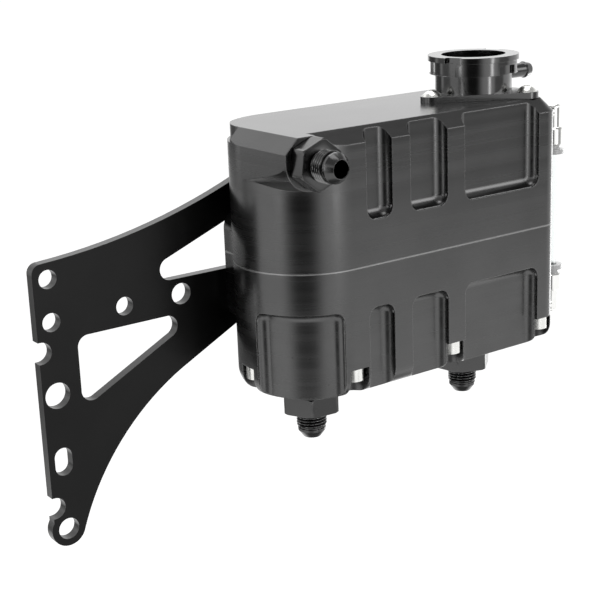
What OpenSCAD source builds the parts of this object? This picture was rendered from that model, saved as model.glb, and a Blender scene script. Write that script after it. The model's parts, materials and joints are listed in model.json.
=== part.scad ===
/* [Tank body] */
// Length of the tank, from the round end to the square end
tank_l = 162; // [150:1:200]
// Width of the tank from front to back
tank_w = 68; // [66:1:74]
// Height of the tank without neck and fittings
tank_h = 121.6; // [118:0.2:140]
// Height of the joint between the two halves
seam_z = 60; // [56:0.5:64]
// Thickness of the gasket between the halves
gasket_t = 0.6; // [0.4:0.1:1]
// Wall thickness at the ribs
wall = 9; // [8.5:0.5:10]
// Thickness of the roof and of the floor
roof_t = 8; // [7:0.5:10]
// Radius of the rounded bottom edge and of the square end's upright edges
edge_r = 9; // [8:0.5:9]
// Width of the bevel round the top
bevel = 6.4; // [5:0.2:7]

/* [Pockets] */
// Depth of the pockets milled into the outside
pocket_d = 5; // [3:0.5:5]
// Radius of the pocket corners
pocket_r = 5; // [4:0.5:6]
// Height of the tops of the lower pockets
low_pocket_z = 40.5; // [34:0.5:44]
// Height of the bottoms of the upper pockets
high_pocket_z = 80.4; // [76:0.4:88]
// Width of the ribs between the pockets
rib_w = 10.5; // [10:0.5:12]
// Width of the narrow pocket
narrow_pocket_w = 14.5; // [12:0.5:16]
// Width of the middle pocket
middle_pocket_w = 22; // [20:0.5:24]

/* [Filler neck] */
// Distance of the neck's axis from the square end
neck_end_gap = 25.3; // [24.8:0.1:40]
// Outside diameter of the neck's cam flange
neck_flange_d = 43.8; // [42:0.2:46]
// Inside diameter of the filler opening
neck_bore_d = 30.8; // [28:0.2:32]
// Height of the neck above the roof, with its plate
neck_h = 20.5; // [18:0.5:26]
// Thickness of the neck's plate
neck_plate_t = 3; // [2.5:0.5:4]
// Distance of the neck screws from the neck's axis
neck_screw_r = 26.5; // [25.5:0.5:28]

/* [Fittings] */
// Outside diameter of the hose threads
hose_thread_d = 14.3; // [12:0.1:16]
// Length of a hose thread
hose_thread_l = 7; // [6:0.5:10]
// Width across flats of the side fitting's hexagon
side_hex_af = 20; // [18:0.05:22]
// Length of the side fitting's hexagon
side_hex_l = 7.9; // [7:0.1:10]
// Width across flats of the bottom fittings' hexagons
outlet_hex_af = 25.4; // [22:0.1:28]
// Length of the bottom fittings' hexagons
outlet_hex_l = 9; // [8:0.1:12]
// Distance of the left outlet from the round end
left_outlet_x = 33; // [30:0.5:40]
// Distance of the right outlet from the square end
right_outlet_gap = 33.5; // [30:0.5:50]
// Distance of the side port's axis from the round end
side_port_x = 12.5; // [12:0.5:14]
// Depth of the side port's axis below the roof
side_port_drop = 11.2; // [11:0.1:13]

/* [Sight tube] */
// Outside diameter of the clear sight tube
tube_d = 6; // [5:0.5:6.5]
// Distance of the tube from the square end
tube_gap = 14.8; // [14.6:0.2:18]
// Distance of the tube behind the front face
tube_y = 20; // [16:0.5:24]
// Travel of the release collars
collar_travel = 1; // [0.5:0.1:1.2]

/* [Bracket] */
// Thickness of the bracket plate
bracket_t = 5; // [4:0.5:6]
// Reach of the bracket past the tank's round end
bracket_reach = 87; // [80:1:95]
// Diameter of the small mounting holes
bracket_hole_d = 8.5; // [8:0.1:9]
// Drop of the foot hole below the top mounting hole
foot_drop = 117; // [112:0.5:124]

/* [Hidden] */
$fn = 96;
eps = 0.01;
// A rounding stands this much past the flat it runs into, so the two cross instead of only touching
kink = 0.03;

end_r = tank_w / 2;
mid_y = tank_w / 2;
seam_low = seam_z - gasket_t / 2;
seam_high = seam_z + gasket_t / 2;
cavity_r = end_r - wall;
bevel_z = tank_h - bevel;

narrow_x = 42.5;
middle_x = narrow_x + narrow_pocket_w + rib_w;
wide_x = middle_x + middle_pocket_w + rib_w;
wide_pocket_w = tank_l - wide_x - 14.6;
pockets = [[narrow_x, narrow_pocket_w], [middle_x, middle_pocket_w], [wide_x, wide_pocket_w]];
end_pocket_from = 189;
end_pocket_to = 261.5;
end_pocket_top = low_pocket_z + 0.8;

// Screws through both halves: an opening toward the nearest outer face goes with each
screw_in = 5.5;
rib_one_x = narrow_x - 6.25;
rib_two_x = wide_x - rib_w / 2;
rib_three_x = tank_l - 9.4;
end_screw_y = mid_y + 3;
shell_screw_places = [
    [screw_in, end_screw_y, 180],
    [rib_one_x, screw_in, -90], [rib_two_x, screw_in, -90], [rib_three_x, screw_in, -90],
    [rib_one_x, tank_w - screw_in, 90], [rib_two_x, tank_w - screw_in, 90],
    [rib_three_x, tank_w - screw_in, 90]
];
shell_screw_d = 6;
shell_screw_clear_d = 6.4;
shell_head_d = 10;
shell_head_h = 6;
notch_w = 10.6;
notch_h = 13.4;
screw_bite = 13;
boss_r = 7.5;

plate_z = tank_h;
neck_z = tank_h + neck_plate_t;
neck_top = tank_h + neck_h;
neck_x = tank_l - neck_end_gap;
neck_angles = [180, -60, 60];
neck_body_r = 18.5;
neck_ring_r = 21.3;
neck_track_r = 19.1;
neck_ring_z = neck_z + 8.7;
neck_flange_z = neck_top - 2.6;
neck_lobe_r = 5.6;
neck_throat_r = 11.5;
neck_seat_z = neck_z + 1.5;
neck_screw_d = 5;
neck_groove_r = 13.6;
neck_groove_w = 2.6;
neck_groove_h = 1.6;
barb_z = neck_z + 6.5;
barb_root = 15.9;
barb_tip = 37;

right_outlet_x = tank_l - right_outlet_gap;
port_z = tank_h - side_port_drop;
port_boss_r = 12.4;
port_boss_back_r = 16.2;
port_bore_d = 11;
side_stem_d = 14.3;
outlet_stem_d = 20;
outlet_boss_h = 4.5;
fitting_stem_l = 8;
nose_d = 13.2;
nose_tip_d = 8.6;
fitting_bore_d = 7.6;
face_t = 0.5;
groove_h = 1.9;
groove_in = 1.3;
seal_r = 0.84;
seal_out = 0.39;
fit_gap = 0.02;

tube_x = tank_l + tube_gap;
tube_r = tube_d / 2;
upper_port_z = tank_h - 11;
lower_port_z = 12.2;
passage_r = 1.6;
stem_r = 3.9;
stem_in = 6.5;
washer_r = 4.6;
washer_t = 1;
elbow_hex_af = 9.2;
elbow_hex_l = 4.4;
elbow_leg_r = 3.6;
elbow_body_r = 4.1;
body_round = 1.6;
socket_r = 5.4;
socket_low = 7.3;
socket_rim = 16.3;
socket_bevel = 0.8;
sleeve_r = tube_r + 0.9;
slide_gap = 0.05;
recess_low = socket_rim - 5.2;
tube_seat = recess_low - 0.8;
grip_low = recess_low + 1.4;
grip_t = 0.6;
socket_gap = collar_travel + 1.1;
sleeve_low = grip_low + grip_t + collar_travel + 0.2;
collar_flange_t = 2.2;
collar_flange_r = 5.7;

bracket_y = tank_w;
top_hole_x = -bracket_reach + 7.3;
top_hole_z = 63.6;
foot_z = top_hole_z - foot_drop;
ear_x = 11;
ear_fillet = 12;
ear_low = 27;
ear_high = 79;
ear_r = 8;
bracket_screw_places = [[27, 70], [27, 40], [tank_l - 34, 84], [tank_l - 34, 40]];
bracket_screw_d = 6;
bracket_screw_l = 11;
bracket_head_d = 11.6;

// The row's origin is the centre of the top mounting hole, on the bracket's back face
module in_frame() {
    translate([-top_hole_x, -bracket_y - bracket_t, -top_hole_z]) children();
}

// Cylinder whose axis is Y, from y0 to y1
module rod_y(x, z, y0, y1, r1, r2 = undef) {
    translate([x, y0, z]) rotate([-90, 0, 0]) cylinder(r1 = r1, r2 = is_undef(r2) ? r1 : r2, h = y1 - y0);
}

// Cylinder whose axis is X, from x0 to x1
module rod_x(y, z, x0, x1, r1, r2 = undef) {
    translate([x0, y, z]) rotate([0, 90, 0]) cylinder(r1 = r1, r2 = is_undef(r2) ? r1 : r2, h = x1 - x0);
}

// Point at a distance and an angle from the origin
function polar(r, a) = [r * cos(a), r * sin(a)];

module ring(z, r_out, r_in, h) {
    translate([0, 0, z]) difference() {
        cylinder(r = r_out, h = h);
        translate([0, 0, -1]) cylinder(r = r_in, h = h + 2);
    }
}

// Plan of the tank: half round at the left, square with round corners at the right
module tank_plan(inset = 0) {
    r = end_r - inset;
    c = max(edge_r - inset, 1.5);
    far = tank_l - inset;
    translate([end_r, mid_y]) circle(r = r);
    translate([end_r, inset]) square([far - c - end_r, tank_w - 2 * inset]);
    translate([end_r, inset + c]) square([far - end_r, tank_w - 2 * inset - 2 * c]);
    for (y = [inset + c, tank_w - inset - c]) translate([far - c, y]) circle(r = c);
}

// Plan of the ear that meets the bracket, with a hollow fillet into the round end
module ear_plan() {
    cx = ear_x - ear_fillet;
    reach = end_r + ear_fillet;
    cy = mid_y + sqrt(reach * reach - (end_r - cx) * (end_r - cx));
    tx = end_r + (cx - end_r) * end_r / reach;
    ty = mid_y + (cy - mid_y) * end_r / reach;
    difference() {
        polygon([[end_r, mid_y + 12], [tx, ty], [cx, cy], [ear_x, cy], [ear_x, tank_w], [end_r + 6, tank_w]]);
        translate([cx, cy]) circle(r = ear_fillet);
    }
}

// Ear between two heights, with its free corners rounded as seen from the front
module ear(z0, z1) {
    intersection() {
        translate([0, 0, z0]) linear_extrude(z1 - z0) ear_plan();
        union() {
            translate([0, 0, ear_low + ear_r]) cube([end_r + 8, tank_w, ear_high - ear_low - 2 * ear_r]);
            translate([ear_x + ear_r, 0, ear_low]) cube([end_r, tank_w, ear_high - ear_low]);
            for (z = [ear_low + ear_r, ear_high - ear_r]) rod_y(ear_x + ear_r, z, 0, tank_w, ear_r);
        }
    }
}

// One pocket in the front face between two heights, its floor edges and one end rounded
module front_pocket(x, w, z0, z1, round_top) {
    flat_z0 = round_top ? z0 - 1 : z0 + pocket_r;
    flat_z1 = round_top ? z1 - pocket_r : z1 + 1;
    round_z = round_top ? z1 - pocket_r : z0 + pocket_r;
    floor_r = pocket_d - 0.5;
    intersection() {
        translate([0, 0, z0 - 1]) linear_extrude(z1 - z0 + 2) union() {
            translate([x, -1]) square([w, pocket_d - floor_r + 1]);
            translate([x + floor_r, -1]) square([w - 2 * floor_r, pocket_d + 1]);
            for (cx = [x + floor_r, x + w - floor_r]) translate([cx, pocket_d - floor_r]) circle(r = floor_r);
        }
        union() {
            translate([x, -2, flat_z0]) cube([w, pocket_d + 4, flat_z1 - flat_z0]);
            translate([x + pocket_r, -2, round_top ? z0 - 1 : z0]) cube([w - 2 * pocket_r, pocket_d + 4, z1 - z0 + 1]);
            for (cx = [x + pocket_r, x + w - pocket_r]) rod_y(cx, round_z, -2, pocket_d + 2, pocket_r);
        }
    }
}

// Pocket round the left end of the lower half, with round upper corners
module end_pocket() {
    from = end_pocket_from + asin(pocket_r / end_r);
    to = end_pocket_to - asin(pocket_r / end_r);
    near = 10;
    reach = 2 * end_r;
    middle = (from + to) / 2;
    translate([end_r, mid_y, 0]) intersection() {
        ring(-1, end_r + 2, end_r - pocket_d, end_pocket_top + 2);
        union() {
            for (side = [[pocket_r - kink, end_pocket_top - pocket_r], [0, end_pocket_top - kink]])
                translate([0, 0, -2]) linear_extrude(side[1] + 2) polygon([
                    polar(near, from) + polar(side[0], from - 90),
                    polar(reach, from) + polar(side[0], from - 90),
                    polar(1.3 * reach, middle),
                    polar(reach, to) + polar(side[0], to + 90),
                    polar(near, to) + polar(side[0], to + 90)
                ]);
            for (a = [from, to]) rotate([0, 0, a])
                translate([near, 0, end_pocket_top - pocket_r]) rotate([0, 90, 0]) cylinder(r = pocket_r, h = reach - near);
        }
    }
}

// Open notch for a screw head at the bottom edge
module screw_notch(place) {
    translate([place[0], place[1], -1]) rotate([0, 0, place[2]]) {
        cylinder(d = notch_w, h = notch_h + 1);
        translate([0, -notch_w / 2, 0]) cube([12, notch_w, notch_h + 1]);
    }
}

// Hollow of the tank, kept clear of the screw bosses
module cavity(z0, z1) {
    difference() {
        translate([0, 0, z0]) linear_extrude(z1 - z0) tank_plan(wall);
        for (p = shell_screw_places) translate([p[0], p[1], z0 - 1]) cylinder(r = boss_r, h = z1 - z0 + 2);
    }
}

module upper_block() {
    intersection() {
        translate([0, 0, seam_high]) cube([end_r, mid_y, tank_h - seam_high]);
        union() {
            rod_y(side_port_x, port_z, 0, mid_y, port_boss_r, port_boss_back_r);
            translate([0, 0, port_z]) cube([side_port_x + port_boss_r, mid_y, tank_h - port_z]);
        }
    }
}

// Bevels of the roof: straight along the left end, the front and the right end, conical at the corner
module roof_bevels() {
    front_from = side_port_x + 3;
    corner = [tank_l - edge_r, edge_r, bevel_z];
    translate([0, -1, 0]) rotate([-90, 0, 0]) linear_extrude(tank_w + 2)
        polygon([[-1, -tank_h - 1], [bevel + 1, -tank_h - 1], [-1, -bevel_z + 1]]);
    translate([front_from, 0, 0]) rotate([90, 0, 90]) linear_extrude(corner[0] - front_from)
        polygon([[-1, tank_h + 1], [bevel + 1, tank_h + 1], [-1, bevel_z - 1]]);
    translate([0, edge_r, 0]) rotate([-90, 0, 0]) linear_extrude(tank_w)
        polygon([[tank_l + 1, -tank_h - 1], [tank_l - bevel - 1, -tank_h - 1], [tank_l + 1, -bevel_z + 1]]);
    difference() {
        translate([corner[0], -1, bevel_z]) cube([edge_r + 1, edge_r + 1, bevel + 1]);
        translate([corner[0], corner[1], bevel_z - eps]) cylinder(r1 = edge_r, r2 = edge_r - bevel, h = bevel + eps);
        translate(corner) cylinder(r = edge_r - bevel, h = bevel + 2);
    }
}

// Sharper rounding of the roof band at the back left corner
module roof_corner_trim() {
    band_r = end_r * 0.7;
    translate([bevel + band_r, tank_w - band_r, bevel_z]) difference() {
        translate([-end_r, 0, 0]) cube([end_r, end_r, bevel + 1]);
        translate([0, 0, -1]) cylinder(r = band_r, h = bevel + 3);
    }
}

module upper_shell() {
    color([0.16, 0.16, 0.17]) in_frame() difference() {
        union() {
            translate([0, 0, seam_high]) linear_extrude(tank_h - seam_high) tank_plan();
            upper_block();
            ear(seam_high, ear_high);
        }
        roof_bevels();
        roof_corner_trim();
        cavity(seam_high - 1, tank_h - roof_t);
        for (p = pockets) front_pocket(p[0], p[1], high_pocket_z, tank_h, false);
        for (p = shell_screw_places) translate([p[0], p[1], seam_high - 1]) cylinder(d = shell_screw_d, h = 17);
        translate([neck_x, mid_y, tank_h - roof_t - 1]) cylinder(r = neck_throat_r, h = roof_t + 2);
        for (a = neck_angles) translate([neck_x, mid_y, tank_h - 7]) rotate([0, 0, a])
            translate([neck_screw_r, 0, 0]) cylinder(d = neck_screw_d, h = 8);
        rod_y(side_port_x, port_z, -1, 9.4, side_stem_d / 2);
        rod_y(side_port_x, port_z, -1, groove_h + 0.05, side_stem_d / 2 + seal_out + 0.01);
        rod_y(side_port_x, port_z, 9, mid_y + 4, port_bore_d / 2);
        elbow_port(upper_port_z);
        for (p = bracket_screw_places) if (p[1] > seam_z) bracket_tapping(p);
    }
}

// Threaded port of an elbow in the square end
module elbow_port(z) {
    rod_x(tube_y, z, tank_l - wall - 6, tank_l + 1, passage_r * 2);
    rod_x(tube_y, z, tank_l - stem_in - 0.5, tank_l + 1, stem_r);
}

// Blind hole in the back wall for a bracket screw
module bracket_tapping(place) {
    rod_y(place[0], place[1], tank_w - 7.2, tank_w + 1, bracket_screw_d / 2);
}

// Upright section of the given width, its outer bottom corner rounded
module foot_section(w) {
    intersection() {
        union() {
            translate([-1, 0]) square([w - edge_r + 1, seam_low]);
            translate([-1, edge_r]) square([w + 1, seam_low - edge_r]);
            translate([w - edge_r, edge_r]) circle(r = edge_r);
        }
        square([w, seam_low]);
    }
}

// Outside of the lower half, its bottom edge rounded all round
module lower_outside() {
    far = tank_l - edge_r;
    translate([end_r, mid_y, 0]) rotate([0, 0, 90]) rotate_extrude(angle = 180) foot_section(end_r);
    translate([end_r, mid_y, 0]) rotate([90, 0, 90]) linear_extrude(far - end_r)
        for (side = [0, 1]) mirror([side, 0]) foot_section(mid_y);
    translate([far, tank_w - edge_r, 0]) rotate([90, 0, 0]) linear_extrude(tank_w - 2 * edge_r) foot_section(edge_r);
    translate([far, edge_r, 0]) rotate([0, 0, -90]) rotate_extrude(angle = 90) foot_section(edge_r);
    translate([far, tank_w - edge_r, 0]) rotate_extrude(angle = 90) foot_section(edge_r);
}

module outlet_boss(x) {
    translate([x, mid_y, -outlet_boss_h]) cylinder(r = 15.5, h = outlet_boss_h + 1);
}

module outlet_hole(x) {
    translate([x, mid_y, -outlet_boss_h - 1]) {
        cylinder(d = outlet_stem_d, h = outlet_boss_h + 1 + 6);
        cylinder(r = outlet_stem_d / 2 + seal_out + 0.01, h = 1 + groove_h + 0.05);
    }
    translate([x, mid_y, -1]) cylinder(d = 12, h = roof_t + 4);
}

module lower_shell() {
    color([0.16, 0.16, 0.17]) in_frame() difference() {
        union() {
            lower_outside();
            ear(ear_low, seam_low);
            outlet_boss(left_outlet_x);
            outlet_boss(right_outlet_x);
        }
        cavity(roof_t, seam_low + 1);
        end_pocket();
        for (p = pockets) front_pocket(p[0], p[1], 0, low_pocket_z, true);
        for (p = shell_screw_places) {
            screw_notch(p);
            translate([p[0], p[1], notch_h - 1]) cylinder(d = shell_screw_clear_d, h = seam_z);
        }
        outlet_hole(left_outlet_x);
        outlet_hole(right_outlet_x);
        elbow_port(lower_port_z);
        for (p = bracket_screw_places) if (p[1] < seam_z) bracket_tapping(p);
    }
}

module shell_gasket() {
    color([0.8, 0.8, 0.8]) in_frame() difference() {
        union() {
            translate([0, 0, seam_low]) linear_extrude(gasket_t) tank_plan();
            ear(seam_low, seam_high);
        }
        cavity(seam_low - 1, seam_high + 1);
        for (p = shell_screw_places) translate([p[0], p[1], seam_low - 1]) cylinder(d = shell_screw_clear_d, h = 3);
    }
}

// Screw with a cylindrical head and a hexagon socket, its head downward at z = 0
module socket_screw(d, head_d, head_h, shank) {
    difference() {
        union() {
            translate([0, 0, -head_h]) cylinder(d = head_d, h = head_h);
            cylinder(d = d, h = shank);
        }
        translate([0, 0, -head_h - 1]) cylinder(d = d * 0.95, h = head_h * 0.6 + 1, $fn = 6);
    }
}

module shell_screws() {
    shank = seam_high - notch_h + screw_bite;
    color([0.85, 0.85, 0.86]) in_frame() for (p = shell_screw_places)
        translate([p[0], p[1], notch_h]) socket_screw(shell_screw_d, shell_head_d, shell_head_h, shank);
}

// Plan of the neck's plate: three round lobes joined by straight edges
module neck_plate_plan() {
    for (a = neck_angles) translate(polar(neck_screw_r, a)) circle(r = neck_lobe_r);
    polygon([for (a = neck_angles) for (side = [-60, 60]) polar(neck_screw_r, a) + polar(neck_lobe_r, a + side)]);
}

// Part of the cam track cut below the neck's flange, with its entry slot
module cam_track(from, to, entry) {
    rotate([0, 0, from]) rotate_extrude(angle = to - from) translate([neck_track_r, neck_ring_z])
        square([6, neck_flange_z - neck_ring_z]);
    rotate([0, 0, entry]) translate([neck_track_r, -4, neck_flange_z - 1]) cube([6, 8, 6]);
}

module filler_neck() {
    color([0.2, 0.2, 0.21]) in_frame() translate([neck_x, mid_y, 0]) difference() {
        union() {
            translate([0, 0, plate_z]) linear_extrude(neck_plate_t) neck_plate_plan();
            translate([0, 0, neck_z - 1]) cylinder(r = neck_body_r, h = neck_ring_z - neck_z + 1);
            translate([0, 0, neck_ring_z]) cylinder(r = neck_ring_r, h = neck_flange_z - neck_ring_z);
            translate([0, 0, neck_flange_z]) cylinder(d = neck_flange_d, h = neck_top - neck_flange_z);
        }
        translate([0, 0, plate_z - 1]) cylinder(r = neck_throat_r, h = neck_h + 2);
        translate([0, 0, neck_seat_z]) cylinder(d = neck_bore_d, h = neck_h);
        cam_track(124, 204, 200);
        cam_track(-56, 24, 20);
        rotate([0, 0, -98]) rotate_extrude(angle = 31) translate([neck_track_r + 0.8, neck_ring_z])
            square([6, 4.4]);
        for (a = neck_angles) rotate([0, 0, a]) translate([neck_screw_r, 0, plate_z - 1])
            cylinder(d = neck_screw_d + 0.4, h = neck_plate_t + 2);
        ring(plate_z - 1, neck_groove_r + neck_groove_w, neck_groove_r, neck_groove_h + 1);
        rod_x(0, barb_z, barb_root - 2, neck_ring_r + 2, 3.3);
    }
}

module neck_seal() {
    color([0.05, 0.05, 0.05]) in_frame() translate([neck_x, mid_y, plate_z]) rotate_extrude()
        translate([neck_groove_r + neck_groove_w / 2, neck_groove_h / 2]) circle(r = neck_groove_h / 2, $fn = 48);
}

// Round-headed screw with a hexagon socket, its head upward from z = 0
module button_screw(d, head_d, head_h, shank) {
    dome_r = (head_d * head_d / 4 + head_h * head_h) / (2 * head_h);
    difference() {
        union() {
            intersection() {
                translate([0, 0, head_h - dome_r]) sphere(r = dome_r);
                cylinder(d = head_d, h = head_h);
            }
            translate([0, 0, -shank]) cylinder(d = d, h = shank + 0.5);
        }
        translate([0, 0, head_h * 0.45]) cylinder(d = d * 0.66, h = head_h, $fn = 6);
    }
}

module neck_screws() {
    color([0.85, 0.85, 0.86]) in_frame() for (a = neck_angles)
        translate([neck_x, mid_y, neck_z]) translate(polar(neck_screw_r, a))
            button_screw(neck_screw_d, 9.5, 2.8, neck_plate_t + 6);
}

module overflow_barb() {
    color([0.1, 0.1, 0.1]) in_frame() translate([neck_x, mid_y, barb_z]) rotate([0, 90, 0]) rotate_extrude()
        polygon([
            [2.2, barb_root], [3.3, barb_root], [3.3, neck_ring_r + 0.1], [4.4, neck_ring_r + 0.1],
            [4.4, neck_ring_r + 1.2], [3.5, neck_ring_r + 1.2], [3.5, barb_tip - 4.5], [4.1, barb_tip - 3.6],
            [3.2, barb_tip], [2.2, barb_tip]
        ]);
}

// Male hose fitting along +Z from its seat: washer face, hexagon, thread, flared nose, and a stem below
module hose_fitting(af, hex_l, stem_d) {
    hex_top = face_t + hex_l;
    thread_low = hex_top + 1;
    thread_top = thread_low + hose_thread_l;
    nose_top = thread_top + 2.2;
    cone_h = (nose_d - nose_tip_d) / 2 / tan(37);
    corner_h = hex_l + 1;
    face_r = af / 2 - 0.7;
    difference() {
        union() {
            cylinder(r = face_r, h = face_t + 1);
            intersection() {
                translate([0, 0, face_t]) cylinder(d = af / cos(30), h = hex_l, $fn = 6);
                translate([0, 0, face_t - 1.2]) cylinder(r1 = face_r - 0.5, r2 = face_r - 0.5 + corner_h, h = corner_h);
                translate([0, 0, hex_top + 1.2 - corner_h])
                    cylinder(r1 = face_r - 0.5 + corner_h, r2 = face_r - 0.5, h = corner_h);
            }
            cylinder(r = hose_thread_d / 2 - 1.1, h = nose_top - 0.5);
            translate([0, 0, thread_low]) cylinder(d = hose_thread_d, h = hose_thread_l);
            translate([0, 0, thread_top + 0.8]) cylinder(d = nose_d, h = nose_top - thread_top - 0.8 + eps);
            translate([0, 0, nose_top]) cylinder(d1 = nose_d, d2 = nose_tip_d, h = cone_h);
            translate([0, 0, -fitting_stem_l]) cylinder(d = stem_d, h = fitting_stem_l + 1);
        }
        translate([0, 0, -fitting_stem_l - 1]) cylinder(d = fitting_bore_d, h = 60);
        translate([0, 0, -groove_h]) difference() {
            cylinder(d = stem_d + 4, h = groove_h);
            translate([0, 0, -1]) cylinder(r = stem_d / 2 - groove_in, h = 4);
        }
    }
}

// O-ring in the groove under a fitting's hexagon
module fitting_seal(stem_d) {
    translate([0, 0, -groove_h / 2]) rotate_extrude()
        translate([stem_d / 2 + seal_out - seal_r, 0]) circle(r = seal_r, $fn = 48);
}

module side_at() {
    in_frame() translate([side_port_x, 0, port_z]) rotate([90, 0, 0]) children();
}

module outlet_at(x) {
    in_frame() translate([x, mid_y, -outlet_boss_h]) rotate([180, 0, 0]) children();
}

module side_fitting() {
    color([0.08, 0.08, 0.08]) side_at() rotate([0, 0, 22]) hose_fitting(side_hex_af, side_hex_l, side_stem_d - fit_gap);
}

module side_seal() { color([0.03, 0.03, 0.03]) side_at() fitting_seal(side_stem_d); }

module left_outlet() {
    color([0.08, 0.08, 0.08]) outlet_at(left_outlet_x) rotate([0, 0, 5])
        hose_fitting(outlet_hex_af, outlet_hex_l, outlet_stem_d - fit_gap);
}

module left_outlet_seal() { color([0.03, 0.03, 0.03]) outlet_at(left_outlet_x) fitting_seal(outlet_stem_d); }

module right_outlet() {
    color([0.08, 0.08, 0.08]) outlet_at(right_outlet_x) rotate([0, 0, 20])
        hose_fitting(outlet_hex_af, outlet_hex_l, outlet_stem_d - fit_gap);
}

module right_outlet_seal() { color([0.03, 0.03, 0.03]) outlet_at(right_outlet_x) fitting_seal(outlet_stem_d); }

// Places its children at an elbow's port, with the tube leading to +Z
module elbow_at(z, downward) {
    in_frame() translate([tube_x, tube_y, z]) mirror([0, 0, downward ? 1 : 0]) children();
}

// Elbow whose stem points to -X and whose socket opens to +Z
module elbow() {
    wall_x = -tube_gap;
    difference() {
        union() {
            rod_x(0, 0, wall_x - stem_in, wall_x + washer_t + 1, stem_r - 0.01);
            translate([wall_x + washer_t, 0, 0]) rotate([0, 90, 0])
                cylinder(d = elbow_hex_af / cos(30), h = elbow_hex_l, $fn = 6);
            rod_x(0, 0, wall_x + washer_t, 0, elbow_leg_r);
            rotate_extrude() intersection() {
                union() {
                    translate([0, -elbow_body_r]) square([elbow_body_r - body_round, elbow_body_r + socket_low]);
                    translate([0, body_round - elbow_body_r]) square([elbow_body_r, elbow_body_r + socket_low - body_round]);
                    translate([elbow_body_r - body_round, body_round - elbow_body_r]) circle(r = body_round);
                }
                translate([0, -elbow_body_r]) square([elbow_body_r, elbow_body_r + socket_low]);
            }
            socket_outside();
        }
        rod_x(0, 0, wall_x - stem_in - 1, 0.5, passage_r);
        cylinder(r = passage_r + 0.1, h = socket_rim);
        translate([0, 0, tube_seat]) cylinder(r = tube_r + slide_gap, h = socket_rim);
        translate([0, 0, recess_low]) cylinder(r = sleeve_r + slide_gap, h = socket_rim);
    }
}

// Outside of the socket, both its rims bevelled
module socket_outside() {
    rotate_extrude() polygon([
        [0, socket_low], [socket_r - socket_bevel, socket_low], [socket_r, socket_low + socket_bevel],
        [socket_r, socket_rim - socket_bevel], [socket_r - socket_bevel, socket_rim], [0, socket_rim]
    ]);
}

// Washer between an elbow and the tank
module elbow_washer() {
    difference() {
        rod_x(0, 0, -tube_gap, washer_t - tube_gap, washer_r);
        rod_x(0, 0, -tube_gap - 1, washer_t - tube_gap + 1, stem_r);
    }
}

// O-ring round the tube at the bottom of the recess
module tube_seal() {
    thick = sleeve_r - tube_r - 0.04;
    translate([0, 0, recess_low + 0.6]) rotate_extrude()
        translate([(tube_r + sleeve_r) / 2 + 0.02, 0]) circle(d = thick, $fn = 48);
}

// Toothed ring that grips the tube
module grip_ring() {
    translate([0, 0, grip_low]) difference() {
        cylinder(r = sleeve_r, h = grip_t);
        translate([0, 0, -1]) cylinder(r = tube_r + slide_gap, h = 3);
        for (a = [0 : 45 : 359]) rotate([0, 0, a]) translate([tube_r - 1, -0.25, -1]) cube([1.5, 0.5, 3]);
    }
}

// Collar that frees the tube when it is pressed into the socket
module release_collar() {
    flange_low = socket_rim + socket_gap;
    difference() {
        union() {
            translate([0, 0, sleeve_low]) cylinder(r = sleeve_r, h = flange_low - sleeve_low + 1);
            translate([0, 0, flange_low]) cylinder(r = collar_flange_r, h = collar_flange_t);
        }
        translate([0, 0, sleeve_low - 1]) cylinder(r = tube_r + slide_gap, h = 12);
    }
}

module upper_elbow() { color([0.75, 0.76, 0.75]) elbow_at(upper_port_z, true) elbow(); }
module upper_elbow_washer() { color([0.1, 0.1, 0.1]) elbow_at(upper_port_z, true) elbow_washer(); }
module upper_tube_seal() { color([0.05, 0.05, 0.05]) elbow_at(upper_port_z, true) tube_seal(); }
module upper_grip_ring() { color([0.7, 0.7, 0.7]) elbow_at(upper_port_z, true) grip_ring(); }
module upper_release_collar() { color([0.8, 0.8, 0.8]) elbow_at(upper_port_z, true) release_collar(); }
module lower_elbow() { color([0.75, 0.76, 0.75]) elbow_at(lower_port_z, false) elbow(); }
module lower_elbow_washer() { color([0.1, 0.1, 0.1]) elbow_at(lower_port_z, false) elbow_washer(); }
module lower_tube_seal() { color([0.05, 0.05, 0.05]) elbow_at(lower_port_z, false) tube_seal(); }
module lower_grip_ring() { color([0.7, 0.7, 0.7]) elbow_at(lower_port_z, false) grip_ring(); }
module lower_release_collar() { color([0.8, 0.8, 0.8]) elbow_at(lower_port_z, false) release_collar(); }

module sight_tube() {
    low = lower_port_z + tube_seat + 0.1;
    high = upper_port_z - tube_seat - 0.1;
    color([0.9, 0.93, 0.95, 0.4]) in_frame() translate([tube_x, tube_y, 0])
        ring(low, tube_r, tube_r - 1, high - low);
}

// Window with rounded corners, given the centres of the roundings
module rounded_window(centres, r) {
    n = len(centres);
    for (c = centres) translate(c) circle(r = r);
    polygon([for (i = [0 : n - 1]) each side_of(centres[i], centres[(i + 1) % n], r - kink)]);
    polygon(centres);
}

// Both ends of the straight side from one rounding to the next
function side_of(a, b, r) = let (d = (b - a) / norm(b - a), out = r * [-d[1], d[0]]) [a + out, b + out];

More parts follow.
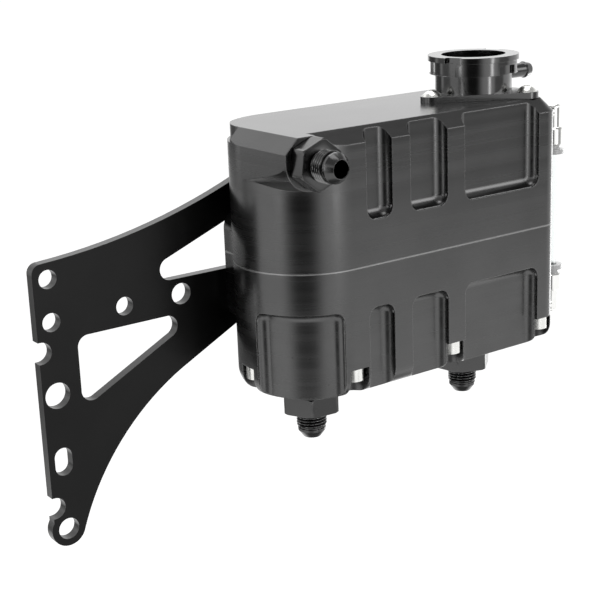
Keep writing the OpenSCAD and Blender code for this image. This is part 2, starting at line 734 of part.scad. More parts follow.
// Face of the bracket as seen from the front
module bracket_face() {
    left = -bracket_reach;
    right = tank_l - 22;
    low = 30;
    high = tank_h - 23.6;
    window_r = 5.3;
    // Hollow upper edge, and the corner that it meets
    top_arc = [left - 13.2, 387.2];
    top_arc_r = 316.8;
    corner_r = 4.5;
    corner_z = top_arc[1] - sqrt(pow(top_arc_r + corner_r, 2) - pow(left + corner_r - top_arc[0], 2)) + kink;
    // Straight lower edge, and the hollow arc that touches both it and the round foot
    foot = [top_hole_x - 0.3, foot_z];
    foot_r = 8.3;
    arc_r = 117.1;
    along = [1, 0.4946] / norm([1, 0.4946]);
    across = [-along[1], along[0]];
    edge = [0, 16.47];
    q = edge - arc_r * across - foot;
    run = sqrt(pow(q * along, 2) - q * q + pow(arc_r + foot_r, 2)) - q * along;
    arc_end = edge + run * along;
    arc = arc_end - arc_r * across;
    foot_touch = foot + foot_r * (arc - foot) / norm(arc - foot);
    edge_end = arc_end + along * (low - arc_end[1]) / along[1];
    difference() {
        union() {
            difference() {
                translate([left, foot_touch[1]]) square([right - left, high - foot_touch[1]]);
                translate(top_arc) circle(r = top_arc_r);
                translate(arc) circle(r = arc_r);
                translate([0, -kink]) polygon([
                    arc_end, edge_end, [right + 1, low], [right + 1, foot_z - 10], [arc_end[0], foot_z - 10]
                ]);
                difference() {
                    translate([left - 1, corner_z]) square([corner_r + 1, 20]);
                    translate([left + corner_r, corner_z]) circle(r = corner_r);
                }
            }
            translate(foot) circle(r = foot_r + kink);
        }
        for (z = [top_hole_z - 32.4, top_hole_z - 105.6]) translate([left, z]) {
            square([2.4, 10], center = true);
            translate([1.2, 0]) circle(r = 5);
        }
        for (z = [top_hole_z, top_hole_z - 19.4]) translate([top_hole_x, z]) circle(d = bracket_hole_d);
        translate([top_hole_x, top_hole_z - 53.2]) circle(d = 12);
        for (dz = [-2.3, 2.3]) translate([top_hole_x, top_hole_z - 84.5 + dz]) circle(d = bracket_hole_d);
        translate([top_hole_x, top_hole_z - 84.5]) square([bracket_hole_d, 4.6], center = true);
        translate(foot) circle(d = 10);
        translate([top_hole_x + 36.2, 44.3]) circle(d = bracket_hole_d);
        translate([top_hole_x + 65.8, 44.3]) circle(d = 10);
        rounded_window([[-19, 57.1], [13.5, 69.5], [13.5, 57.1]], window_r);
        rounded_window([[-62.8, 29.9], [-22.2, 29.9], [-62.8, 9.6]], window_r);
    }
}

module mounting_bracket() {
    color([0.12, 0.12, 0.12]) in_frame() difference() {
        translate([0, bracket_y + bracket_t, 0]) rotate([90, 0, 0]) linear_extrude(bracket_t) bracket_face();
        for (p = bracket_screw_places) {
            rod_y(p[0], p[1], bracket_y - 1, bracket_y + bracket_t + 1, bracket_screw_d / 2 + 0.2);
            rod_y(p[0], p[1], bracket_y + bracket_t - 3, bracket_y + bracket_t, 3, bracket_head_d / 2 + 0.2);
        }
    }
}

module bracket_screws() {
    back = bracket_y + bracket_t;
    color([0.3, 0.3, 0.3]) in_frame() for (p = bracket_screw_places) difference() {
        union() {
            rod_y(p[0], p[1], back - bracket_screw_l, back - 2, bracket_screw_d / 2);
            rod_y(p[0], p[1], back - 3.2, back - 0.3, bracket_screw_d / 2 - 0.2, bracket_head_d / 2 - 0.3);
        }
        translate([p[0], back - 2.4, p[1]]) rotate([-90, 0, 0]) cylinder(d = 4.6, h = 3, $fn = 6);
    }
}

upper_shell();
lower_shell();
shell_gasket();
shell_screws();
filler_neck();
neck_seal();
neck_screws();
overflow_barb();
side_fitting();
side_seal();
left_outlet();
left_outlet_seal();
right_outlet();
right_outlet_seal();
upper_elbow();
upper_elbow_washer();
upper_tube_seal();
upper_grip_ring();
upper_release_collar();
lower_elbow();
lower_elbow_washer();
lower_tube_seal();
lower_grip_ring();
lower_release_collar();
sight_tube();
mounting_bracket();
bracket_screws();
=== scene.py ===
import bpy
import bmesh
import json
import math
from mathutils import Matrix, Vector


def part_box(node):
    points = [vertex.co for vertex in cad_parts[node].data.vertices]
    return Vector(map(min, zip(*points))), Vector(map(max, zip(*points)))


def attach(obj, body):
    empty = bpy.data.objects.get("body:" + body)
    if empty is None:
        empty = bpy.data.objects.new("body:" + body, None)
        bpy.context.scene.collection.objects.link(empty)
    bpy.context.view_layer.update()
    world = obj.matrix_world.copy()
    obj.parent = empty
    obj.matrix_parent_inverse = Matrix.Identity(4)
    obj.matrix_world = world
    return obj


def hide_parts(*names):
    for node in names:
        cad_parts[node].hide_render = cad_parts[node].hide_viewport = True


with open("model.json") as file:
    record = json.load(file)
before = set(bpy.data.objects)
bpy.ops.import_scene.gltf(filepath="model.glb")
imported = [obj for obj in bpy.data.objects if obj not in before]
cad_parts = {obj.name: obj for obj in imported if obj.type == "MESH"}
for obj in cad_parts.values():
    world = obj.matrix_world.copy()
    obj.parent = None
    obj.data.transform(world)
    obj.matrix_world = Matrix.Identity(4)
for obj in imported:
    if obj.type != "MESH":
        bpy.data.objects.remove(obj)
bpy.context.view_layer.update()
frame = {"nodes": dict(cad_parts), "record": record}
scene = bpy.context.scene
MM = 0.001

# Camera, fitted to the photograph: a 589 by 589 frame
CAMERA_AT = Vector((-0.24392, -0.53479, 0.15326))
CAMERA_AZIMUTH = 54.82
CAMERA_PITCH = 15.98
CAMERA_ROLL = 2.23
CAMERA_LENS = 84.36
CAMERA_RANGE = (0.01, 50)
SENSOR = 36.0


def make_camera():
    data = bpy.data.cameras.new("camera")
    data.lens = CAMERA_LENS
    data.sensor_width = SENSOR
    data.sensor_fit = "HORIZONTAL"
    data.clip_start, data.clip_end = CAMERA_RANGE
    camera = bpy.data.objects.new("camera", data)
    scene.collection.objects.link(camera)
    azimuth, pitch, roll = (math.radians(a) for a in (CAMERA_AZIMUTH, CAMERA_PITCH, CAMERA_ROLL))
    reach = math.cos(pitch)
    look = Vector((math.cos(azimuth) * reach, math.sin(azimuth) * reach, -math.sin(pitch)))
    level = Vector((math.sin(azimuth), -math.cos(azimuth), 0))
    drop = look.cross(level)
    right = math.cos(roll) * level + math.sin(roll) * drop
    down = -math.sin(roll) * level + math.cos(roll) * drop
    turn = Matrix((right, -down, -look)).transposed().to_4x4()
    camera.matrix_world = Matrix.Translation(CAMERA_AT) @ turn
    scene.camera = camera


# Node helpers

# Most of a noise lies in this range
NOISE_RANGE = (0.3, 0.7)


def new_material(name):
    material = bpy.data.materials.new(name)
    material.use_nodes = True
    shader = material.node_tree.nodes["Principled BSDF"]
    return material, material.node_tree, shader


def add(tree, kind, **settings):
    made = tree.nodes.new(kind)
    for key, value in settings.items():
        setattr(made, key, value)
    return made


def scaled(tree, value, factor):
    """A value times a number or times another value."""
    made = add(tree, "ShaderNodeMath", operation="MULTIPLY")
    tree.links.new(value, made.inputs[0])
    if isinstance(factor, float):
        made.inputs[1].default_value = factor
    else:
        tree.links.new(factor, made.inputs[1])
    return made.outputs[0]


def absolute(tree, value):
    made = add(tree, "ShaderNodeMath", operation="ABSOLUTE")
    tree.links.new(value, made.inputs[0])
    return made.outputs[0]


def largest(tree, first, *others):
    for other in others:
        made = add(tree, "ShaderNodeMath", operation="MAXIMUM")
        tree.links.new(first, made.inputs[0])
        tree.links.new(other, made.inputs[1])
        first = made.outputs[0]
    return first


def split(tree, coordinates):
    made = add(tree, "ShaderNodeSeparateXYZ")
    tree.links.new(coordinates, made.inputs[0])
    return made.outputs


def remap(tree, value, start, stop, low, high, easing="LINEAR"):
    """Takes the range of a value from start to stop to the range from low to high."""
    made = add(tree, "ShaderNodeMapRange", interpolation_type=easing)
    for socket, number in zip(("From Min", "From Max", "To Min", "To Max"), (start, stop, low, high)):
        made.inputs[socket].default_value = number
    tree.links.new(value, made.inputs["Value"])
    return made.outputs["Result"]


def eased(tree, value, start, stop, low, high):
    return remap(tree, value, start, stop, low, high, "SMOOTHSTEP")


def varied(tree, noise, value, low, high):
    """A value that follows a noise, from low to high times its size."""
    return remap(tree, noise, *NOISE_RANGE, value * low, value * high)


def glowing(tree, kind, strength):
    made = add(tree, kind)
    made.inputs["Color"].default_value = (1, 1, 1, 1)
    made.inputs["Strength"].default_value = strength
    return made


def mixed(tree, share, first, second):
    """The first shader where the share is 0, the second where it is 1."""
    made = add(tree, "ShaderNodeMixShader")
    for source, socket in zip((share, first, second), made.inputs):
        tree.links.new(source, socket)
    return made.outputs[0]


def grain(tree, scale, stretch, detail=3.0):
    """Noise in the object's own coordinates, stretched along some of its axes."""
    where = add(tree, "ShaderNodeTexCoord")
    mapping = add(tree, "ShaderNodeMapping")
    mapping.inputs["Scale"].default_value = stretch
    noise = add(tree, "ShaderNodeTexNoise")
    noise.inputs["Scale"].default_value = scale
    noise.inputs["Detail"].default_value = detail
    tree.links.new(where.outputs["Object"], mapping.inputs["Vector"])
    tree.links.new(mapping.outputs["Vector"], noise.inputs["Vector"])
    return noise.outputs["Fac"]


def grey(tree, value, tint=(1.0, 1.0, 1.0)):
    """A colour from a brightness value."""
    made = add(tree, "ShaderNodeCombineColor")
    for channel, share in zip(("Red", "Green", "Blue"), tint):
        tree.links.new(scaled(tree, value, share), made.inputs[channel])
    return made.outputs["Color"]


def bump(tree, height, strength, distance):
    made = add(tree, "ShaderNodeBump")
    made.inputs["Strength"].default_value = strength
    made.inputs["Distance"].default_value = distance
    tree.links.new(height, made.inputs["Height"])
    return made


# Finishes: the brightness of the base colour and the roughness of each
SHELL = (0.090, 0.27)
NECK = (0.097, 0.15)
FITTING = (0.062, 0.16)
# Painted highlight on the thread's crests and painted shade in its roots, lighter and darker than the
# fitting's own colour
CREST = (0.20, 0.22)
ROOT = (0.006, 0.45)
BRACKET = (0.015, 0.34)
GASKET = (0.29, 0.38)
SCREW = (0.86, 0.24)
ELBOW = (0.93, 0.12)
DARK_SCREW = (0.06, 0.32)
SEAL = (0.02, 0.55)
COLLAR = (0.86, 0.24)
SCREW_TINT = (1.0, 1.0, 0.97)
ELBOW_TINT = (1.0, 1.0, 0.98)
# Brightness of the bracket's cut edges, and the painted highlight of all broken edges: how much lighter
# than their faces their colour is made
BRACKET_CUT = 0.085
PAINTED_EDGE_HIGHLIGHT = 2.2
# Cosines between which the tone goes over to the face's own, on a cut edge and on a broken edge's painted
# highlight
CUT_EDGE_TURN = (0.4, 0.6)
PAINTED_EDGE_HIGHLIGHT_TURN = (0.80, 0.97)
# The clear oxide layer of anodised metal
OXIDE_ROUGH = 0.25
OXIDE_IOR = 1.6
TUBE_TINT = (0.97, 0.99, 0.985, 1.0)
TUBE_ROUGH = 0.04
TUBE_IOR = 1.42

# Scales of surface noise along X, Y and Z, where a large last one gives level cutter lines
EVEN = (1.0, 1.0, 1.0)
MILLED = (3.0, 3.0, 260.0)
TURNED = (2.0, 2.0, 420.0)
FINE = (40.0, 40.0, 40.0)
PLATE = (5.0, 5.0, 5.0)
ALONG_TUBE = (1.0, 1.0, 0.2)
# Scales of the cloudy gloss of each kind of material, and of the specks of anodised metal
ANODISED_CLOUD = 38.0
METAL_CLOUD = 300.0
PLASTIC_CLOUD = 500.0
TUBE_CLOUD = 200.0
SPECKS = 2600.0
# Heights of the specks and the cutter marks where their bump has its full strength
SPECK_HEIGHT = 0.02 * MM
MARK_HEIGHT = 0.05 * MM


def cut_edge_lift(tree, lift):
    """Lightness of the cut edges of a plate, which are the faces that don't look along Y."""
    where = add(tree, "ShaderNodeTexCoord")
    facing = absolute(tree, split(tree, where.outputs["Normal"])["Y"])
    return remap(tree, facing, *CUT_EDGE_TURN, lift, 1.0)


def broken_edge_with_painted_highlight(tree, radius):
    """Normal of slightly rounded edges, and a painted highlight: how much lighter their colour is made
    than the colour of the faces.
    """
    broken = add(tree, "ShaderNodeBevel", samples=4)
    broken.inputs["Radius"].default_value = radius
    surface = add(tree, "ShaderNodeNewGeometry")
    agree = add(tree, "ShaderNodeVectorMath", operation="DOT_PRODUCT")
    tree.links.new(broken.outputs["Normal"], agree.inputs[0])
    tree.links.new(surface.outputs["Normal"], agree.inputs[1])
    return broken.outputs["Normal"], remap(tree, agree.outputs["Value"], *PAINTED_EDGE_HIGHLIGHT_TURN, PAINTED_EDGE_HIGHLIGHT, 1.0)


def machined(name, base, rough, marks, relief, coat, edge=None, cut_edge=None):
    """Anodised metal with cutter marks and cloudy gloss, broken edges with a painted highlight, and
    lighter cut edges if asked.
    """
    material, tree, shader = new_material(name)
    cut = grain(tree, 1.0, marks, detail=4.0)
    speck = grain(tree, SPECKS, EVEN, detail=1.0)
    fine = bump(tree, speck, relief, SPECK_HEIGHT)
    marked = bump(tree, cut, relief, MARK_HEIGHT)
    colour = varied(tree, grain(tree, ANODISED_CLOUD, EVEN), base, 0.93, 1.07)
    if cut_edge:
        colour = scaled(tree, colour, cut_edge_lift(tree, cut_edge / base))
    # Painted highlight: the colour is made lighter along the broken edges
    if edge:
        normal, lift = broken_edge_with_painted_highlight(tree, edge)
        colour = scaled(tree, colour, lift)
        tree.links.new(normal, fine.inputs["Normal"])
    tree.links.new(grey(tree, colour), shader.inputs["Base Color"])
    tree.links.new(varied(tree, cut, rough, 0.82, 1.18), shader.inputs["Roughness"])
    tree.links.new(fine.outputs["Normal"], marked.inputs["Normal"])
    tree.links.new(marked.outputs["Normal"], shader.inputs["Normal"])
    shader.inputs["Metallic"].default_value = 1.0
    shader.inputs["Coat Weight"].default_value = coat
    shader.inputs["Coat Roughness"].default_value = OXIDE_ROUGH
    shader.inputs["Coat IOR"].default_value = OXIDE_IOR
    return material


def bright_metal(name, base, rough, tint=(1.0, 1.0, 1.0)):
    material, tree, shader = new_material(name)
    cloud = grain(tree, METAL_CLOUD, EVEN)
    tree.links.new(grey(tree, varied(tree, cloud, base, 0.94, 1.0), tint), shader.inputs["Base Color"])
    tree.links.new(varied(tree, cloud, rough, 0.7, 1.3), shader.inputs["Roughness"])
    shader.inputs["Metallic"].default_value = 1.0
    return material


def plastic(name, base, rough):
    material, tree, shader = new_material(name)
    cloud = grain(tree, PLASTIC_CLOUD, EVEN)
    tree.links.new(grey(tree, varied(tree, cloud, base, 0.92, 1.0)), shader.inputs["Base Color"])
    tree.links.new(varied(tree, cloud, rough, 0.85, 1.15), shader.inputs["Roughness"])
    return material


def clear(name):
    material, tree, shader = new_material(name)
    cloud = grain(tree, TUBE_CLOUD, ALONG_TUBE)
    tree.links.new(varied(tree, cloud, TUBE_ROUGH, 0.5, 1.5), shader.inputs["Roughness"])
    shader.inputs["Base Color"].default_value = TUBE_TINT
    shader.inputs["Transmission Weight"].default_value = 1.0
    shader.inputs["IOR"].default_value = TUBE_IOR
    return material


shell_finish = machined("anodised_shell", *SHELL, MILLED, relief=0.06, coat=0.25, edge=0.6 * MM)
neck_finish = machined("anodised_neck", *NECK, TURNED, relief=0.06, coat=0.2, edge=0.25 * MM)
fitting_finish = machined("anodised_fitting", *FITTING, FINE, relief=0.02, coat=0.35, edge=0.25 * MM)
# Painted highlight for the thread crests and painted shade for the thread roots
crest_painted_highlight = machined("thread_crest_painted_highlight", *CREST, FINE, relief=0.02, coat=0.3)
root_painted_shade = machined("thread_root_painted_shade", *ROOT, FINE, relief=0.02, coat=0.0)
bracket_finish = machined("anodised_bracket", *BRACKET, PLATE, relief=0.06, coat=0.1, edge=0.4 * MM,
                          cut_edge=BRACKET_CUT)

FINISHES = {
    "anodised_shell": shell_finish,
    "anodised_neck": neck_finish,
    "anodised_fitting": fitting_finish,
    "anodised_bracket": bracket_finish,
    "bright_gasket": bright_metal("bright_gasket", *GASKET),
    "stainless_screw": bright_metal("stainless_screw", *SCREW, SCREW_TINT),
    "plated_elbow": bright_metal("plated_elbow", *ELBOW, ELBOW_TINT),
    "black_screw": bright_metal("black_screw", *DARK_SCREW),
    "black_seal": plastic("black_seal", *SEAL),
    "collar_plastic": plastic("collar_plastic", *COLLAR),
    "clear_tube": clear("clear_tube"),
}


def dress_cad_nodes():
    for part in frame["record"]["subparts"]:
        node = frame["nodes"][part["node"]]
        finish = FINISHES[part["material_slot"]]
        if not node.material_slots:
            node.data.materials.append(finish)
        for place in node.material_slots:
            place.material = finish


# Mesh helpers

def mesh_object(name, points, faces, finish, sharp=30.0):
    mesh = bpy.data.meshes.new(name)
    mesh.from_pydata(points, [], faces)
    mesh.validate()
    mesh.update()
    made = bpy.data.objects.new(name, mesh)
    scene.collection.objects.link(made)
    mesh.materials.append(finish)
    mesh.polygons.foreach_set("use_smooth", [True] * len(mesh.polygons))
    mesh.set_sharp_from_angle(angle=math.radians(sharp))
    return made


def lathe(name, rows, steps, finish, sharp):
    """A closed ring of rows (height, radius), where a radius is a number or a function of the angle."""
    points, faces = [], []
    for height, radius in rows:
        for i in range(steps):
            angle = 2 * math.pi * i / steps
            r = radius(angle) if callable(radius) else radius
            points.append((r * math.cos(angle) * MM, r * math.sin(angle) * MM, height * MM))
    count = len(rows)
    for j in range(count):
        for i in range(steps):
            k = (i + 1) % steps
            n = (j + 1) % count
            faces.append((j * steps + i, j * steps + k, n * steps + k, n * steps + i))
    return mesh_object(name, points, faces, finish, sharp)


# Coves: the round floor edges that the cutter leaves at the closed ends of the pockets, in millimetres
TANK_H = 121.6
TANK_END_R = 34.0
FOOT_R = 9.0
POCKET_D = 5.0
POCKET_R = 5.0
HIGH_POCKET_Z = 80.4
LOW_POCKET_Z = 40.5
COVE_R = 4.5
COVE_BACK = POCKET_D + 1.0
# A cove runs out this far under the pocket's floor, and stays this far under the tank's rounded foot
SUNK = 0.015
UNDER_FOOT = 0.06
# Start and width of each front pocket along the tank
POCKETS = ((42.5, 14.5), (67.5, 22.0), (100.0, 47.4))
# Pocket of the round end: the angles of its sides in degrees, its width, and where it starts and ends
END_POCKET = (189.0, 261.5)
END_POCKET_W = 40.0
END_POCKET_TOP = 41.3
END_POCKET_LOW = 1.2
# Size and number of the cells that a cove's surface is made of
CELL = 0.4
COVE_ROWS = 20
END_CELLS = (100, 90)


def cove_depth(u, v, width):
    """Depth of the pocket at a place u along its closed end and v away from that end."""
    def to_wall(side):
        if side < POCKET_R and v < POCKET_R:
            return POCKET_R - math.hypot(POCKET_R - side, POCKET_R - v)
        return min(side, v)
    gap = min(max(min(to_wall(u), to_wall(width - u)), 0.0), COVE_R)
    return POCKET_D - COVE_R + math.sqrt(COVE_R ** 2 - (COVE_R - gap) ** 2) + SUNK


def cove(name, width, length, cells, place):
    """Filled round edges of one pocket, from its closed end over the given length."""
    columns, rows = cells
    points, faces = [], []
    for back in (False, True):
        for j in range(rows + 1):
            for i in range(columns + 1):
                u, v = width * i / columns, length * j / rows
                points.append(place(u, v, COVE_BACK if back else cove_depth(u, v, width)))
    across = columns + 1
    whole = across * (rows + 1)
    for j in range(rows):
        for i in range(columns):
            a = j * across + i
            quad = (a, a + 1, a + across + 1, a + across)
            faces.append(quad)
            faces.append(tuple(whole + k for k in reversed(quad)))
    rim = list(range(across))
    rim += [j * across + columns for j in range(1, rows + 1)]
    rim += [rows * across + i for i in range(columns - 1, -1, -1)]
    rim += [j * across for j in range(rows - 1, 0, -1)]
    for a, b in zip(rim, rim[1:] + rim[:1]):
        faces.append((b, a, whole + a, whole + b))
    made = mesh_object(name, points, faces, shell_finish, sharp=40.0)
    form = bmesh.new()
    form.from_mesh(made.data)
    bmesh.ops.recalc_face_normals(form, faces=form.faces)
    form.to_mesh(made.data)
    form.free()
    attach(made, "tank")


def front_place(corner, x, end_z, way):
    """Places on a front pocket that starts at x and runs up or down from its closed end."""
    def place(u, v, depth):
        return corner + Vector((x + u, depth, end_z + way * v)) * MM
    return place


def end_place(corner):
    """Places on the round end's pocket, whose side walls stand parallel to its outer radii."""
    first, last = END_POCKET
    turn = math.degrees(math.asin(POCKET_R / TANK_END_R))

    def place(u, v, depth):
        height = END_POCKET_TOP - v
        low = min(height, FOOT_R)
        foot = FOOT_R - math.sqrt(FOOT_R ** 2 - (FOOT_R - low) ** 2)
        radius = TANK_END_R - max(depth, foot + UNDER_FOOT)
        wall = math.degrees(math.asin(POCKET_R / radius)) - turn
        angle = math.radians(first - wall + (last - first + 2 * wall) * u / END_POCKET_W)
        x = TANK_END_R + radius * math.cos(angle)
        return corner + Vector((x, TANK_END_R + radius * math.sin(angle), height)) * MM
    return place


def place_coves():
    low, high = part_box("upper_shell")
    corner = Vector((low.x, low.y, high.z - TANK_H * MM))
    for count, (x, width) in enumerate(POCKETS, 1):
        cells = (int(width / CELL), COVE_ROWS)
        for half, end_z, way in (("upper", HIGH_POCKET_Z, 1), ("lower", LOW_POCKET_Z, -1)):
            place = front_place(corner, x, end_z, way)
            cove("%s_pocket_cove_%d" % (half, count), width, POCKET_R, cells, place)
    cove("end_pocket_cove", END_POCKET_W, END_POCKET_TOP - END_POCKET_LOW, END_CELLS, end_place(corner))


# Male hose fittings, in millimetres: O-ring groove, washer face, hexagon, thread, relief and flared nose
THREAD_R = 7.15
THREAD_DEPTH = 0.87
THREAD_PITCH = 1.411
THREAD_L = 7.0
THREAD_GAP = 1.0
# Rows of the thread's mesh in one turn
THREAD_STEPS = 12
# The thread's flank rises with this slope over half a turn, less what its flat root takes
FLANK_SLOPE = 1.25
FLAT_ROOT = 0.12
# Slope with which the thread runs out at its ends
RUN_OUT = 1.2
# Depth under the thread's outside that its crest reaches to, and depths between which its root lies: where
# the painted highlight and the painted shade of the thread go
CREST_TO = 0.24
ROOT_FROM = 0.60
ROOT_TO = 1.2
BORE_R = 3.8
STEM_L = 8.0
STEM_CHAMFER = 0.4
GROOVE_L = 1.9
GROOVE_DEPTH = 1.3
FACE_T = 0.5
FACE_STEP = 0.7
# Share of a hexagon's corner that the chamfer takes, its slope and steps, and the small breaks beside it
HEX_CHAMFER = 0.45
HEX_SLOPE = 0.6
HEX_STEPS = 5
HEX_BREAK = 0.15
CORNER_BREAK = 0.10
COLLAR_R = 6.9
COLLAR_BREAK = 0.25
NECK_R = 6.1
RELIEF_R = 6.05
NOSE_R = 6.6
NOSE_TIP_R = 4.3
NOSE_ANGLE = 37
NOSE_GAP = 0.8
NOSE_END = 2.2
LIP = 0.15
# Break at the nose's tip: its length, and its radii above and below the tip's own
TIP_BREAK = 0.12
TIP_ABOVE = 0.09
TIP_BELOW = 0.05
BREAK = 0.1
MOUTH_CHAMFER = 0.25
LATHE_STEPS = 144
# Hexagon width, hexagon length and stem radius
SIDE_SIZES = (20.0, 7.9, 7.14)
OUTLET_SIZES = (25.4, 9.0, 9.99)
# Tip of each fitting from upright and its turn about its own axis, in degrees
SIDE_TIP = 90
SIDE_TURN = 22
OUTLET_TIP = 180
OUTLET_TURNS = (("left_outlet", 5), ("right_outlet", 20))


def thread_rows(low, high):
    count = int((high - low) / THREAD_PITCH * THREAD_STEPS)
    rows = []
    for j in range(count + 1):
        z = low + (high - low) * j / count
        limit = min(z - low, high - z) * RUN_OUT

        def radius(angle, z=z, limit=limit):
            turn = (z / THREAD_PITCH - angle / (2 * math.pi)) % 1.0
            crest = min(max((1 - abs(2 * turn - 1)) * FLANK_SLOPE - FLAT_ROOT, 0.0), 1.0)
            return THREAD_R - THREAD_DEPTH + min(crest * THREAD_DEPTH, limit)

        rows.append((z, radius))
    return rows


def hexagon(across, cone):
    """Radius of a hexagon cut down to a cone's radius, its corners slightly broken."""
    def radius(angle):
        from_flat = (math.degrees(angle) % 60.0) - 30.0
        flat = across / 2 / math.cos(math.radians(from_flat))
        return min(flat, across / math.sqrt(3) - CORNER_BREAK, cone)
    return radius


def stem_rows(stem_r):
    groove_r = stem_r - GROOVE_DEPTH
    return [
        (-STEM_L, BORE_R), (-STEM_L, stem_r - STEM_CHAMFER),
        (-STEM_L + STEM_CHAMFER, stem_r), (-GROOVE_L, stem_r),
        (-GROOVE_L, groove_r), (0.0, groove_r),
    ]


def hexagon_rows(across, hex_top):
    """Washer face and chamfered hexagon, up to the foot of the thread."""
    face_r = across / 2 - FACE_STEP
    corner_r = across / math.sqrt(3)
    reach = (corner_r - across / 2) * HEX_CHAMFER
    cut = corner_r - reach
    chamfer = [reach * i / HEX_STEPS for i in range(HEX_STEPS + 1)]
    end = hexagon(across - 2 * HEX_BREAK, cut)
    rows = [(0.0, face_r), (FACE_T, face_r), (FACE_T, end)]
    rows += [(FACE_T + HEX_BREAK + c * HEX_SLOPE, hexagon(across, cut + c)) for c in chamfer]
    rows += [(hex_top - HEX_BREAK - c * HEX_SLOPE, hexagon(across, cut + c)) for c in reversed(chamfer)]
    rows += [(hex_top, end), (hex_top, COLLAR_R), (hex_top + COLLAR_BREAK, NECK_R)]
    return rows


def nose_rows(thread_top):
    low = thread_top + NOSE_GAP
    top = thread_top + NOSE_END
    tip = top + (NOSE_R - NOSE_TIP_R) / math.tan(math.radians(NOSE_ANGLE))
    return [
        (thread_top + BREAK, RELIEF_R), (low - BREAK, RELIEF_R),
        (low, NOSE_R - BREAK), (low + BREAK, NOSE_R),
        (top - LIP, NOSE_R), (top, NOSE_R - BREAK),
        (tip - TIP_BREAK, NOSE_TIP_R + TIP_ABOVE), (tip, NOSE_TIP_R - TIP_BELOW),
        (tip, BORE_R + MOUTH_CHAMFER), (tip - MOUTH_CHAMFER, BORE_R),
    ]


def hose_fitting(name, across, hex_l, stem_r, place):
    hex_top = FACE_T + hex_l
    thread_low = hex_top + THREAD_GAP
    thread_top = thread_low + THREAD_L
    rows = stem_rows(stem_r) + hexagon_rows(across, hex_top) + [(thread_low - BREAK, NECK_R)]
    rows += thread_rows(thread_low, thread_top) + nose_rows(thread_top)
    piece = lathe("threaded_" + name, rows, LATHE_STEPS, fitting_finish, sharp=28.0)
    piece.data.materials.append(crest_painted_highlight)
    piece.data.materials.append(root_painted_shade)
    # Faces near the crest get the painted highlight, faces in the root get the painted shade
    for face in piece.data.polygons:
        where = face.center / MM
        if thread_low < where.z < thread_top:
            depth = THREAD_R - math.hypot(where.x, where.y)
            if depth < CREST_TO:
                face.material_index = 1
            elif ROOT_FROM < depth < ROOT_TO:
                face.material_index = 2
    piece.data.transform(place)
    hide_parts(name)
    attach(piece, "tank")


def turned(seat, tip, turn):
    """Place of a fitting that stands on its seat, tipped about X and then turned about its own axis."""
    tipped = Matrix.Rotation(math.radians(tip), 4, "X")
    return Matrix.Translation(seat) @ tipped @ Matrix.Rotation(math.radians(turn), 4, "Z")


def place_fittings():
    low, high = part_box("side_fitting")
    seat = Vector(((low.x + high.x) / 2, high.y - STEM_L * MM, (low.z + high.z) / 2))
    hose_fitting("side_fitting", *SIDE_SIZES, turned(seat, SIDE_TIP, SIDE_TURN))
    for name, turn in OUTLET_TURNS:
        low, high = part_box(name)
        seat = Vector(((low.x + high.x) / 2, (low.y + high.y) / 2, high.z - STEM_L * MM))
        hose_fitting(name, *OUTLET_SIZES, turned(seat, OUTLET_TIP, turn))


# Studio: white floor and surround, a brighter backdrop behind, a dimmer ceiling, cards and soft panels
CENTRE = Vector((0.155, -0.040, -0.005))
FLOOR_Z = -0.80
FLOOR_SIZE = 60.0
FLOOR_GLOW = 0.66
FLOOR_COLOUR = (0.8, 0.8, 0.8, 1)
FILL = 0.5
CEILING = 0.38
CEILING_EDGE = (0.30, 0.62)
BACKDROP = 1.2
BACKDROP_AZIMUTH = 85
BACKDROP_SIDE = (0.15, 0.65)
BACKDROP_TOP = (0.60, 0.85)
BACKDROP_ABOVE = 0.2
# Upright cards: azimuth, distance, width, heights, soft margins, strength and cover
CARDS = (
    ("card_camera", -133, 1.48, 2.10, (-0.78, 0.50), (0.78, 0.20), 0.0, 0.97),
    ("strip_right", -81, 1.44, 0.24, (-0.26, 0.70), (0.08, 0.08), 5.7, 1.0),
    ("strip_left", -165, 1.44, 0.24, (-0.22, 0.70), (0.09, 0.08), 4.1, 1.0),
    ("strip_side", 12, 1.50, 0.60, (-0.78, -0.13), (0.20, 0.05), 5.0, 1.0),
    ("strip_high", -50, 1.50, 1.20, (0.12, 0.95), (0.30, 0.20), 3.4, 1.0),
    ("card_front", -48, 1.42, 1.10, (-0.36, 0.06), (0.25, 0.12), 0.0, 0.70),
    ("card_left", 139, 1.50, 1.00, (-0.26, 0.05), (0.25, 0.08), 0.0, 0.65),
    ("card_low", -68, 1.46, 0.60, (-0.79, -0.60), (0.10, 0.03), 0.0, 0.70),
    ("card_rear", 96, 1.50, 1.30, (-0.32, 0.60), (0.25, 0.10), 0.0, 0.85),
    ("card_rear_low", 102, 1.60, 2.60, (-0.79, -0.30), (0.30, 0.10), 0.0, 0.85),
)
# Level card: place, size, soft margins, strength and cover. It is a dark sheet under the object, seen only
# in reflections, that stands in for the floor's shade there
FLOOR_SHADE_CARD = ("card_painted_floor_shade", (0.155, -0.040, -0.30), (0.50, 0.34), (0.12, 0.12), 0.0, 0.85)
# Soft panels: place, size and strength
PANELS = (
    ("panel_over", (0.155, -0.10, 1.30), (0.7, 0.7), 2.5),
    ("panel_top", (0.45, 0.35, 0.85), (0.9, 0.6), 2.0),
    ("panel_left", (-0.75, 0.15, 0.35), (0.5, 0.7), 1.0),
)


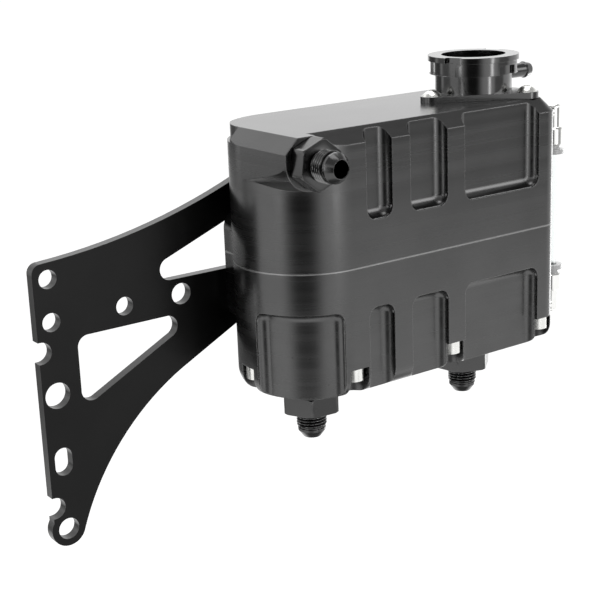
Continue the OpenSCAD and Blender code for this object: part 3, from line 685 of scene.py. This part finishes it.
def studio():
    world = bpy.data.worlds.new("studio")
    scene.world = world
    world.use_nodes = True
    tree = world.node_tree
    tree.nodes.clear()
    out = add(tree, "ShaderNodeOutputWorld")
    where = add(tree, "ShaderNodeTexCoord").outputs["Generated"]
    height = split(tree, where)["Z"]
    surround = eased(tree, height, *CEILING_EDGE, 1.0, CEILING)
    azimuth = math.radians(BACKDROP_AZIMUTH)
    behind = add(tree, "ShaderNodeVectorMath", operation="DOT_PRODUCT")
    behind.inputs[1].default_value = (math.cos(azimuth), math.sin(azimuth), 0)
    tree.links.new(where, behind.inputs[0])
    wide = eased(tree, behind.outputs["Value"], *BACKDROP_SIDE, 0.0, BACKDROP)
    tall = eased(tree, height, *BACKDROP_TOP, 1.0, BACKDROP_ABOVE)
    seen = glowing(tree, "ShaderNodeBackground", 1.0)
    fill = glowing(tree, "ShaderNodeBackground", FILL)
    mirrored = glowing(tree, "ShaderNodeBackground", 1.0)
    tree.links.new(largest(tree, surround, scaled(tree, wide, tall)), mirrored.inputs["Strength"])
    path = add(tree, "ShaderNodeLightPath").outputs
    direct = largest(tree, path["Is Camera Ray"], path["Is Transmission Ray"])
    indirect = mixed(tree, path["Is Glossy Ray"], fill.outputs[0], mirrored.outputs[0])
    tree.links.new(mixed(tree, direct, indirect, seen.outputs[0]), out.inputs["Surface"])


def stage_material(name):
    """A material without a shader yet, its nodes and the socket that takes its surface."""
    material, tree, shader = new_material(name)
    tree.nodes.remove(shader)
    return material, tree, tree.nodes["Material Output"].inputs["Surface"]


def floor_finish():
    """White floor that keeps a soft shadow."""
    material, tree, surface = stage_material("floor_white")
    path = add(tree, "ShaderNodeLightPath").outputs
    seen = largest(tree, path["Is Camera Ray"], path["Is Glossy Ray"], path["Is Transmission Ray"])
    glow = glowing(tree, "ShaderNodeEmission", FLOOR_GLOW)
    matt = add(tree, "ShaderNodeBsdfDiffuse")
    matt.inputs["Color"].default_value = FLOOR_COLOUR
    both = add(tree, "ShaderNodeAddShader")
    tree.links.new(glow.outputs[0], both.inputs[0])
    tree.links.new(matt.outputs[0], both.inputs[1])
    tree.links.new(mixed(tree, seen, matt.outputs[0], both.outputs[0]), surface)
    return material


def card_finish(name, size, fade, strength, cover):
    """Plain glow or darkness that fades out toward the sheet's edges."""
    material, tree, surface = stage_material(name)
    where = split(tree, add(tree, "ShaderNodeTexCoord").outputs["Object"])
    shares = []
    for axis, length, soft in zip(("X", "Y"), size, fade):
        off = absolute(tree, where[axis])
        shares.append(eased(tree, off, length / 2 - soft, length / 2, 1.0, 0.0))
    share = scaled(tree, scaled(tree, *shares), cover)
    through = add(tree, "ShaderNodeBsdfTransparent")
    glow = glowing(tree, "ShaderNodeEmission", strength)
    tree.links.new(mixed(tree, share, through.outputs[0], glow.outputs[0]), surface)
    return material


def sheet_object(name, width, height, finish):
    w, h = width / 2, height / 2
    return mesh_object(name, [(-w, -h, 0), (w, -h, 0), (w, h, 0), (-w, h, 0)], [(0, 1, 2, 3)], finish)


def hide_but_reflect(made):
    made.visible_camera = False
    made.visible_diffuse = False
    made.visible_shadow = False
    made.visible_transmission = False


def card(name, azimuth, distance, width, heights, fade, strength, cover):
    """Upright card beside the object that shows only in reflections."""
    low, high = heights
    size = (width, high - low)
    made = sheet_object(name, *size, card_finish(name, size, fade, strength, cover))
    a = math.radians(azimuth)
    at = CENTRE + Vector((math.cos(a), math.sin(a), 0)) * distance
    at.z = (low + high) / 2
    upright = Matrix.Rotation(math.pi / 2, 4, "X")
    made.matrix_world = Matrix.Translation(at) @ Matrix.Rotation(a + math.pi / 2, 4, "Z") @ upright
    hide_but_reflect(made)


def level_card(name, at, size, fade, strength, cover):
    """Level card under the object that shows only in reflections."""
    made = sheet_object(name, *size, card_finish(name, size, fade, strength, cover))
    made.location = at
    hide_but_reflect(made)


def panel(name, at, size, strength):
    """Rectangular soft panel that faces the object."""
    data = bpy.data.lights.new(name, "AREA")
    data.shape = "RECTANGLE"
    data.size, data.size_y = size
    data.energy = strength * size[0] * size[1] * math.pi
    lamp = bpy.data.objects.new(name, data)
    scene.collection.objects.link(lamp)
    toward = CENTRE - Vector(at)
    lamp.matrix_world = Matrix.Translation(at) @ toward.to_track_quat("-Z", "Y").to_matrix().to_4x4()
    lamp.visible_camera = False


def build_stage():
    floor = sheet_object("floor", FLOOR_SIZE, FLOOR_SIZE, floor_finish())
    floor.location = (0, 0, FLOOR_Z)
    for settings in CARDS:
        card(*settings)
    level_card(*FLOOR_SHADE_CARD)
    for settings in PANELS:
        panel(*settings)


scene.view_settings.view_transform = "Standard"
make_camera()
studio()
build_stage()
dress_cad_nodes()
place_fittings()
place_coves()
